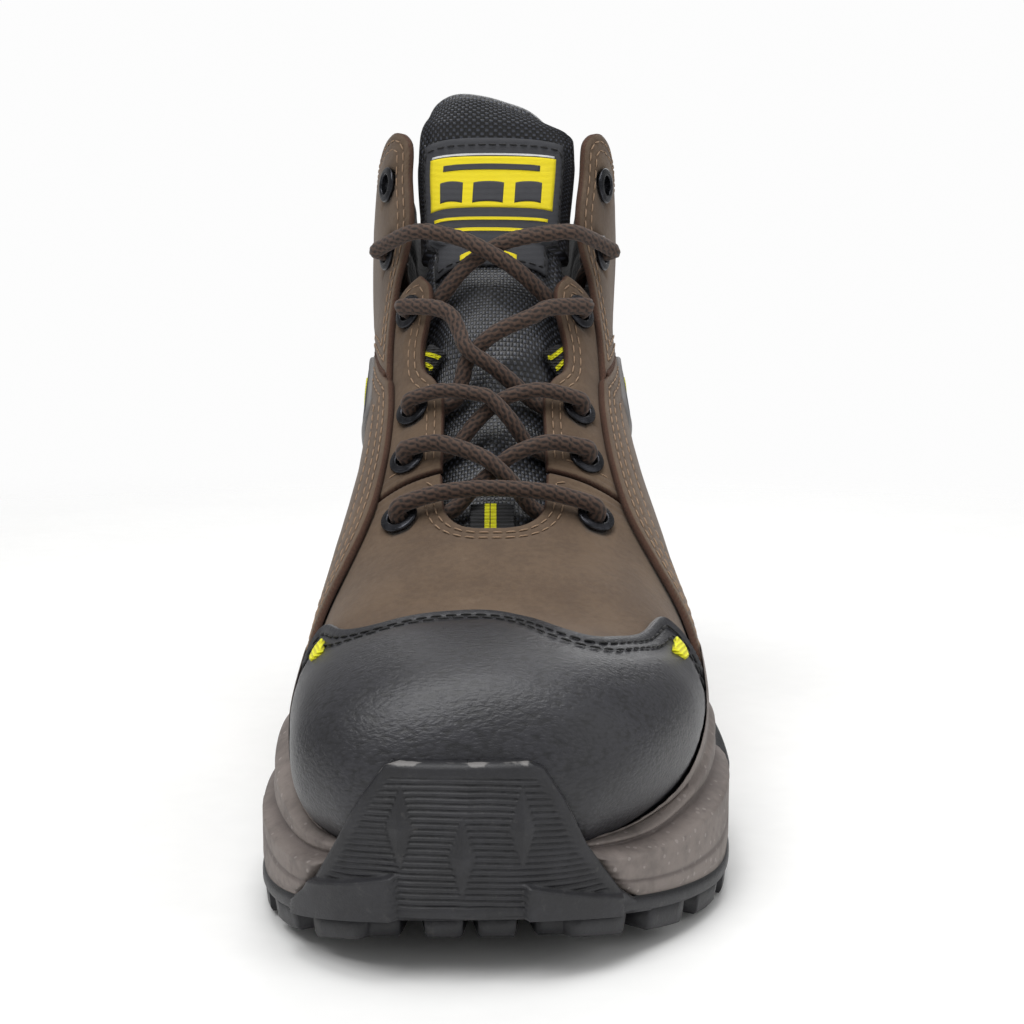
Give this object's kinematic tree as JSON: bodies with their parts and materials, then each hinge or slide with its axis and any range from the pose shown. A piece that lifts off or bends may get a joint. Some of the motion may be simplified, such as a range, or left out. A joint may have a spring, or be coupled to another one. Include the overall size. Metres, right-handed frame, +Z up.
{
  "type": "steel toe work boot",
  "caption": "Lace-up ankle work boot for a left foot, with a steel toe cap under a leather cover, a cup midsole, a lugged rubber sole and a padded tongue and collar.",
  "frame": {"origin": "on the ground, under the middle of the sole", "axes": "+Z up, the toe points along -Y, the medial side of this left boot is -X and the lateral side is +X"},
  "size_m": [0.1128, 0.304, 0.1961],
  "materials": {
    "rubber": "matt moulded rubber",
    "foam": "matt moulded polyurethane",
    "board": "pressed fibre board",
    "steel": "pressed steel",
    "footbed": "foam with a knitted face",
    "lining": "padded spacer mesh",
    "nubuck": "nubuck, flat-cut edges",
    "toe_leather": "coated leather, pebbled",
    "accent": "satin film",
    "webbing": "ribbed webbing",
    "lace": "round braided cord",
    "eyelet": "dark nickel"
  },
  "bodies": {
    "boot": {"outsole": "rubber", "midsole": "foam", "insole_board": "board", "steel_shank": "steel", "footbed_forepart": "footbed", "steel_toe_cap": "steel", "toe_cap_bead": "rubber", "heel_counter": "board", "forepart_lining": "lining", "quarter_lining": "lining", "collar_padding": "lining", "vamp": "nubuck", "toe_cap_cover": "toe_leather", "backstay": "nubuck", "eyestay_medial": "nubuck", "quarter_medial": "nubuck", "collar_panel_medial": "nubuck", "midsole_support_medial": "rubber", "toe_flash_medial": "accent", "side_badge_medial": "accent", "webbing_loop_medial": "webbing", "lace_tail_medial": "lace", "lace_aglet_medial": "eyelet", "eyelet_medial_1": "eyelet", "eyelet_medial_2": "eyelet", "eyelet_medial_3": "eyelet", "eyelet_medial_4": "eyelet", "eyelet_medial_5": "eyelet", "eyelet_medial_6": "eyelet", "eyestay_lateral": "nubuck", "quarter_lateral": "nubuck", "collar_panel_lateral": "nubuck", "midsole_support_lateral": "rubber", "toe_flash_lateral": "accent", "side_badge_lateral": "accent", "webbing_loop_lateral": "webbing", "lace_tail_lateral": "lace", "lace_aglet_lateral": "eyelet", "eyelet_lateral_1": "eyelet", "eyelet_lateral_2": "eyelet", "eyelet_lateral_3": "eyelet", "eyelet_lateral_4": "eyelet", "eyelet_lateral_5": "eyelet", "eyelet_lateral_6": "eyelet", "tongue_lower": "lining", "tongue_lace_keeper": "webbing", "lace": "lace"},
    "tongue_top": {"tongue_upper": "lining", "tongue_label": "webbing"},
    "footbed_rear": {"footbed_heel": "footbed"},
    "pull_loop": {"heel_pull_loop": "webbing"}
  },
  "joints": [
    {"name": "tongue_fold", "type": "hinge", "parent": "boot", "child": "tongue_top", "pos_m": [0, 0.0151, 0.16], "axis": [1, 0, 0], "range_deg": [-8, 30], "stiffness_Nm_per_rad": 0.05},
    {"name": "footbed_lift", "type": "hinge", "parent": "boot", "child": "footbed_rear", "pos_m": [0, 0.025, 0.0325], "axis": [1, 0, 0], "range_deg": [0, 15]},
    {"name": "pull_loop_tilt", "type": "hinge", "parent": "boot", "child": "pull_loop", "pos_m": [0, 0.1453, 0.1393], "axis": [-1, 0, 0], "range_deg": [0, 60], "stiffness_Nm_per_rad": 0.01}
  ]
}
